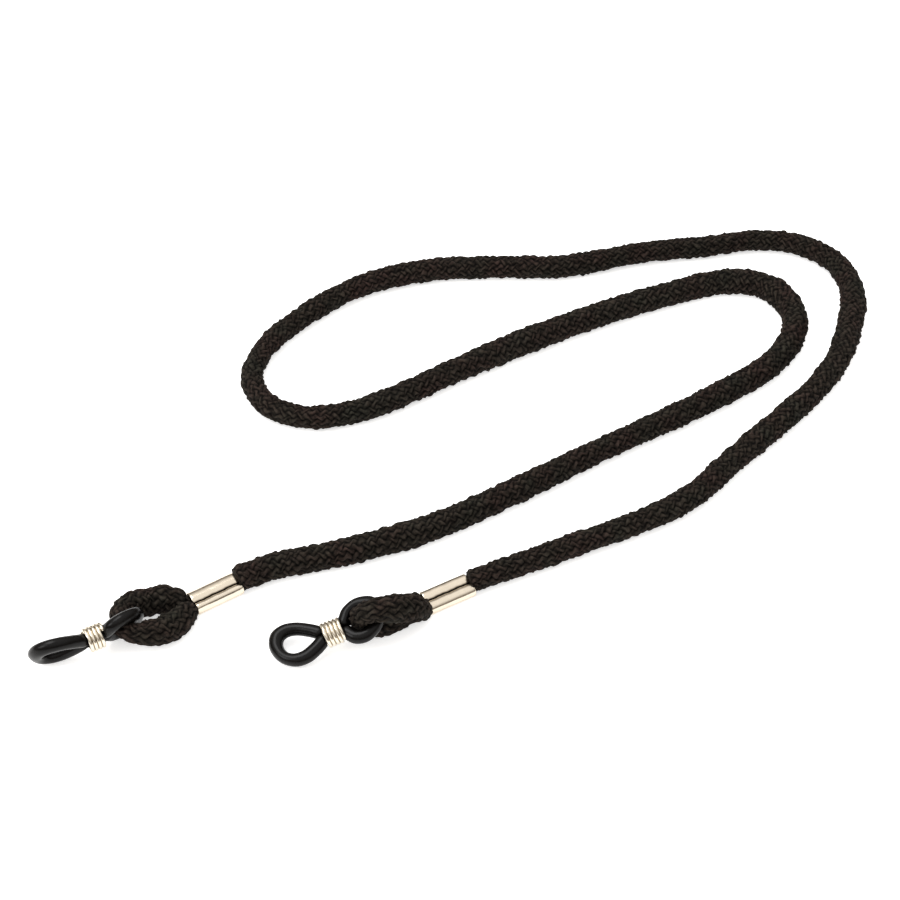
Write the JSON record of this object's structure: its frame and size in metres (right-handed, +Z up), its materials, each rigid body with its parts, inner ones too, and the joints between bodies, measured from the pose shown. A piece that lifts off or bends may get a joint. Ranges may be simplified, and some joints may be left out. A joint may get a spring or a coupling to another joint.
{
  "type": "eyeglass retainer strap",
  "caption": "Knitted round neck cord with a crimped metal ferrule, cord eye, rubber temple loop and sliding wire coil at each end; keeps a pair of glasses round the neck.",
  "frame": {"origin": "on the surface that the strap lies on, under the middle of the two end fittings' box", "axes": "+X along the strap's long runs, from the end fittings towards the far bend; +Y from the right end towards the left end; +Z up from the surface"},
  "size_m": [0.2053, 0.097, 0.0117],
  "materials": {
    "knitted_cord": "black knitted polyester round cord, matt with a faint warm sheen",
    "ferrule_nickel": "bright nickel-plated sheet, rolled and crimped",
    "loop_rubber": "black moulded rubber, smooth semi-gloss",
    "coil_nickel": "bright nickel-plated spring wire"
  },
  "bodies": {
    "cord": {"strap_cord": "knitted_cord", "left_cord_eye": "knitted_cord", "right_cord_eye": "knitted_cord", "left_clamped_strand": "knitted_cord", "left_clamped_tail": "knitted_cord", "right_clamped_strand": "knitted_cord", "right_clamped_tail": "knitted_cord", "left_ferrule": "ferrule_nickel", "right_ferrule": "ferrule_nickel"},
    "left_loop": {"left_rubber_loop": "loop_rubber"},
    "right_loop": {"right_rubber_loop": "loop_rubber"},
    "left_coil": {"left_wire_coil": "coil_nickel"},
    "right_coil": {"right_wire_coil": "coil_nickel"}
  },
  "joints": [
    {"name": "left_loop_swing", "type": "hinge", "parent": "cord", "child": "left_loop", "pos_m": [-0.02204, 0.0116, 0.00465], "axis": [0.0637, 0.9113, 0.4067], "range_deg": [-110, 110]},
    {"name": "right_loop_swing", "type": "hinge", "parent": "cord", "child": "right_loop", "pos_m": [0.01639, -0.01268, 0.00542], "axis": [-0.2525, -0.0724, 0.9649], "range_deg": [-110, 110]},
    {"name": "left_coil_slide", "type": "slide", "parent": "left_loop", "child": "left_coil", "axis": [-0.9976, 0.0698, 0], "range_m": [0, 0.003], "deforming": ["left_rubber_loop"]},
    {"name": "right_coil_slide", "type": "slide", "parent": "right_loop", "child": "right_coil", "axis": [-0.9366, 0.2686, -0.225], "range_m": [0, 0.003], "deforming": ["right_rubber_loop"]}
  ]
}
